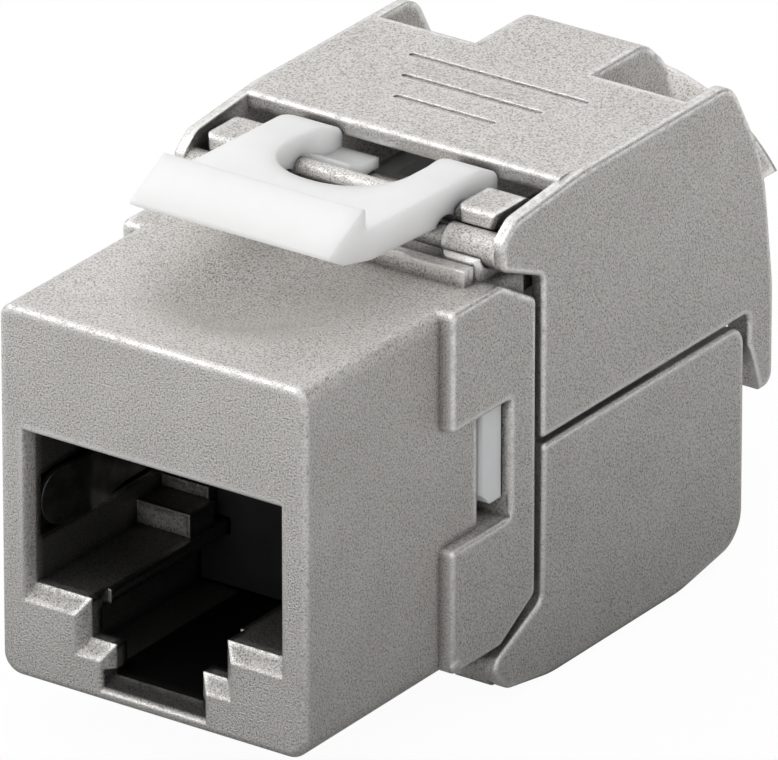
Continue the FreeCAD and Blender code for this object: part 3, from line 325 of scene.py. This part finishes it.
def casting(name, has_socket_shade):
    """Satin plating with a sandy grain, worn bright at the edges, with painted shade in the
    crevices and, if asked, inside the plug socket.
    """
    s = Shader(name)
    grain = s.noise(GRAIN_SIZE, GRAIN_DETAIL, GRAIN_HARSHNESS)
    cloud = s.noise(PLATING_CLOUD_SIZE)
    patch = s.noise(WEAR_PATCH_SIZE)
    soft = s.rounded(EDGE_RADIUS)
    open_air = s.openness(CREVICE_REACH)
    metal = s.openness(WEAR_REACH, inside=True)
    unevenness = s.ramp(patch, *NOISE_SPREAD, -WEAR_PATCHINESS, WEAR_PATCHINESS)
    thickness = s.math("ADD", metal, unevenness)
    thin = s.ramp(thickness, *WEAR_THICKNESS)
    worn = s.math("MULTIPLY", thin, s.ramp(open_air, *WEAR_OPENNESS))

    base = s.mix(s.ramp(cloud, *NOISE_SPREAD, *PLATING_BLEND), PLATING_DARK, PLATING)
    base = s.mix(s.ramp(grain, *PIT_RANGE, 0.0, PIT_STRENGTH), base, PIT)
    base = s.mix(s.ramp(grain, *CREST_RANGE, 0.0, CREST_STRENGTH), base, POLISHED)
    base = s.mix(s.math("MULTIPLY", worn, WEAR_STRENGTH), base, POLISHED)
    # Painted shade: crevices, seams and recesses darkened where the air is less open
    base = s.mix(s.ramp(open_air, *CREVICE_OPENNESS), base, CREVICE_SHADE)
    if has_socket_shade:
        # Painted shade inside the plug socket
        base = s.scale(base, cavity(s))

    rough = s.ramp(grain, *NOISE_SPREAD, *CASTING_ROUGHNESS)
    rough = s.math("SUBTRACT", rough, s.math("MULTIPLY", worn, WEAR_SMOOTHING))
    normal = s.bump(grain, GRAIN_DEPTH, s.ramp(worn, 0.0, 1.0, 1.0, WEAR_GRAIN_LEFT), soft)
    return s.finish(base_color=base, metallic=CASTING_METALLIC, roughness=rough, normal=normal)


def plastic(name, tones, roughness=PLASTIC_ROUGHNESS, glow_through=0.0):
    """Moulded plastic with soft edges and a faint uneven sheen."""
    s = Shader(name)
    colour, shade = tones
    cloud = s.noise(PLASTIC_CLOUD_SIZE, detail=3.0)
    grain = s.noise(PLASTIC_GRAIN_SIZE)
    base = s.mix(s.ramp(cloud, *PLASTIC_CLOUD_RANGE), shade, colour)
    spread = PLASTIC_ROUGHNESS_SPREAD
    rough = s.ramp(grain, *NOISE_SPREAD, roughness - spread, roughness + spread)
    edges = s.rounded(PLASTIC_EDGE_RADIUS)
    normal = s.bump(grain, PLASTIC_GRAIN_DEPTH, PLASTIC_GRAIN_STRENGTH, edges)
    s.surface.inputs["Subsurface Scale"].default_value = PLASTIC_GLOW_DEPTH
    s.surface.inputs["Subsurface Radius"].default_value = (1, 1, 1)
    return s.finish(
        base_color=base, roughness=rough, normal=normal, subsurface_weight=glow_through)


def sheet_metal(name, tones, roughness):
    """Rolled strip with fine streaks along its length."""
    s = Shader(name)
    colour, shade = tones
    stretched = s.add("ShaderNodeMapping")
    s.feed(stretched.inputs["Vector"], s.coords)
    stretched.inputs["Scale"].default_value = STREAK_STRETCH
    streak = s.noise(STREAK_SIZE, detail=3.0, coords=stretched.outputs["Vector"])
    cloud = s.noise(STRIP_CLOUD_SIZE)
    base = s.mix(s.ramp(cloud, *STRIP_CLOUD_RANGE), shade, colour)
    rough = s.ramp(
        streak, *NOISE_SPREAD, roughness - STREAK_SMOOTHER, roughness + STREAK_ROUGHER)
    edges = s.rounded(STRIP_EDGE_RADIUS)
    normal = s.bump(streak, STREAK_DEPTH, STREAK_STRENGTH, edges)
    return s.finish(base_color=base, metallic=1.0, roughness=rough, normal=normal)


def board(name):
    """Solder mask with the weave of the laminate just showing."""
    s = Shader(name)
    colour, shade = BOARD_TONES
    weave = s.noise(WEAVE_SIZE, detail=1.0)
    cloud = s.noise(BOARD_CLOUD_SIZE)
    base = s.mix(s.ramp(cloud, *BOARD_CLOUD_RANGE), shade, colour)
    rough = s.ramp(weave, *NOISE_SPREAD, *BOARD_ROUGHNESS)
    normal = s.bump(weave, WEAVE_DEPTH, WEAVE_STRENGTH)
    return s.finish(base_color=base, roughness=rough, normal=normal)


def dress(frame_nodes):
    """Gives every CAD node its finish."""
    finishes = {
        "plated_casting": casting("plated_casting", False),
        "plated_casting_socket_shade": casting("plated_casting_socket_shade", True),
        "latch_plastic": plastic("latch_plastic", LATCH_TONES, glow_through=LATCH_GLOW),
        "white_plastic": plastic("white_plastic", PALE_TONES, glow_through=PALE_GLOW),
        "dark_plastic": plastic("dark_plastic", BLACK_TONES, BLACK_ROUGHNESS),
        "spring_steel": sheet_metal("spring_steel", SPRING_TONES, SPRING_ROUGHNESS),
        "gold_contact": sheet_metal("gold_contact", GOLD_TONES, GOLD_ROUGHNESS),
        "tinned_blade": sheet_metal("tinned_blade", TIN_TONES, TIN_ROUGHNESS),
        "board": board("board"),
    }
    for part in frame["record"]["subparts"]:
        housing = part["node"] == "front_housing"
        finish = "plated_casting_socket_shade" if housing else part["material_slot"]
        mesh = frame_nodes[part["node"]].data
        mesh.materials.clear()
        mesh.materials.append(finishes[finish])


def make_floor():
    """A floor, painted darker under the object as a shadow. The camera sees the white world
    through it and a faint shadow, and so the lower cover when it opens down past the floor."""
    floor_height = CAD_BOX[0][2] - FLOOR_GAP
    bpy.ops.mesh.primitive_plane_add(size=FLOOR_SIZE, location=(0, 0, floor_height))
    floor = bpy.context.object
    floor.name = "studio_floor"
    s = Shader("studio_floor")
    speckle = s.noise(FLOOR_SPECKLE_SIZE)
    offset = s.add("ShaderNodeVectorMath", operation="SUBTRACT")
    s.feed(offset.inputs[0], s.coords)
    offset.inputs[1].default_value = FLOOR_CENTRE
    squeezed = s.add("ShaderNodeVectorMath", operation="MULTIPLY")
    s.feed(squeezed.inputs[0], offset.outputs["Vector"])
    squeezed.inputs[1].default_value = FLOOR_STRETCH
    away = s.add("ShaderNodeVectorMath", operation="LENGTH")
    s.feed(away.inputs[0], squeezed.outputs["Vector"])
    # Painted shadow: the floor's tone is dark under the object and pale far off
    pale = s.ramp(away.outputs["Value"], FLOOR_NEAR, FLOOR_FAR)
    tone = s.mix(pale, FLOOR_SHADOW_TONE, FLOOR_PALE)
    specks = s.ramp(speckle, *NOISE_SPREAD, 0.0, FLOOR_SPECKLE_STRENGTH)
    tone = s.mix(specks, tone, FLOOR_SPECKLE)

    path = s.add("ShaderNodeLightPath")
    shown_tone = s.mix(path.outputs["Is Camera Ray"], tone, FLOOR_SHOWN)
    s.finish(base_color=shown_tone, roughness=FLOOR_ROUGHNESS)
    mirrored = s.math(
        "MAXIMUM", path.outputs["Is Glossy Ray"], path.outputs["Is Transmission Ray"])
    # Reflections see the floor's tone, painted shadow included, as light of its own
    mirror_tone = s.add("ShaderNodeEmission")
    s.feed(mirror_tone.inputs["Color"], tone)
    clear = s.add("ShaderNodeBsdfTransparent")
    ground = s.blend(mirrored, s.surface.outputs["BSDF"], mirror_tone.outputs["Emission"])
    seen = s.math("MULTIPLY", path.outputs["Is Camera Ray"], FLOOR_CLEAR)
    shown = s.blend(seen, ground, clear.outputs["BSDF"])
    s.feed(s.tree.nodes["Material Output"].inputs["Surface"], shown)
    floor.data.materials.append(s.material)


class WorldShader(Shader):
    """The same node calls for the world."""

    def __init__(self, name):
        self.material = bpy.data.worlds.new(name)
        self.material.use_nodes = True
        self.tree = self.material.node_tree
        self.surface = self.tree.nodes["Background"]
        self.coords = self.add("ShaderNodeTexCoord").outputs["Generated"]

    def towards(self, direction):
        """How far a direction of the sky points the given way, -1 to 1."""
        node = self.add("ShaderNodeVectorMath", operation="DOT_PRODUCT")
        self.feed(node.inputs[0], self.coords)
        node.inputs[1].default_value = Vector(direction).normalized()
        return node.outputs["Value"]


def make_world():
    """A white tent, dim at the horizon, that the camera sees as plain white."""
    s = WorldShader("studio")
    bpy.context.scene.world = s.material
    level = s.ramp(s.towards((0, 0, 1)), *SKY_RANGE, *SKY_LEVELS)
    side = s.ramp(s.towards(SKY_BRIGHT_SIDE), -1.0, 1.0, *SKY_SIDE_LEVELS)
    flag = s.ramp(s.towards(FLAG_DIRECTION), *FLAG_RANGE, 1.0, FLAG_LEVEL)
    strength = s.math("MULTIPLY", s.math("MULTIPLY", level, side), flag)
    seen = s.add("ShaderNodeLightPath").outputs["Is Camera Ray"]
    unseen = s.math("MULTIPLY", strength, s.math("SUBTRACT", 1.0, seen))
    s.surface.inputs["Color"].default_value = (1, 1, 1, 1)
    s.feed(s.surface.inputs["Strength"], s.math("ADD", unseen, seen))


def make_light():
    """The key light: a soft square that faces the object."""
    data = bpy.data.lights.new("key", "AREA")
    data.shape = "SQUARE"
    data.size = KEY_SIZE
    data.energy = KEY_POWER
    light = bpy.data.objects.new("key", data)
    bpy.context.scene.collection.objects.link(light)
    light.location = KEY_PLACE
    light.rotation_mode = "QUATERNION"
    light.rotation_quaternion = (KEY_TARGET - KEY_PLACE).to_track_quat("-Z", "Y")
    light.visible_camera = False


def make_camera():
    """The camera, turned and moved so that the object fills the frame."""
    azimuth = math.radians(VIEW_AZIMUTH)
    elevation = math.radians(VIEW_ELEVATION)
    back = Vector((math.sin(azimuth), -math.cos(azimuth), math.tan(elevation))).normalized()
    right = Vector((math.cos(azimuth), math.sin(azimuth), 0))
    up = back.cross(right)
    data = bpy.data.cameras.new("camera")
    data.sensor_width = SENSOR
    data.lens = SENSOR * VIEW_DISTANCE / FIELD_WIDTH
    data.clip_start, data.clip_end = VIEW_CLIP
    camera = bpy.data.objects.new("camera", data)
    bpy.context.scene.collection.objects.link(camera)
    camera.matrix_world = Matrix((right, up, back)).transposed().to_4x4()
    middle = VIEW_TARGET + right * VIEW_SIDE_SHIFT + up * VIEW_RISE_SHIFT
    camera.location = middle + back * VIEW_DISTANCE
    bpy.context.scene.camera = camera


make_camera()
dress(frame["nodes"])
make_floor()
make_world()
make_light()
bpy.context.scene.view_settings.view_transform = "Standard"
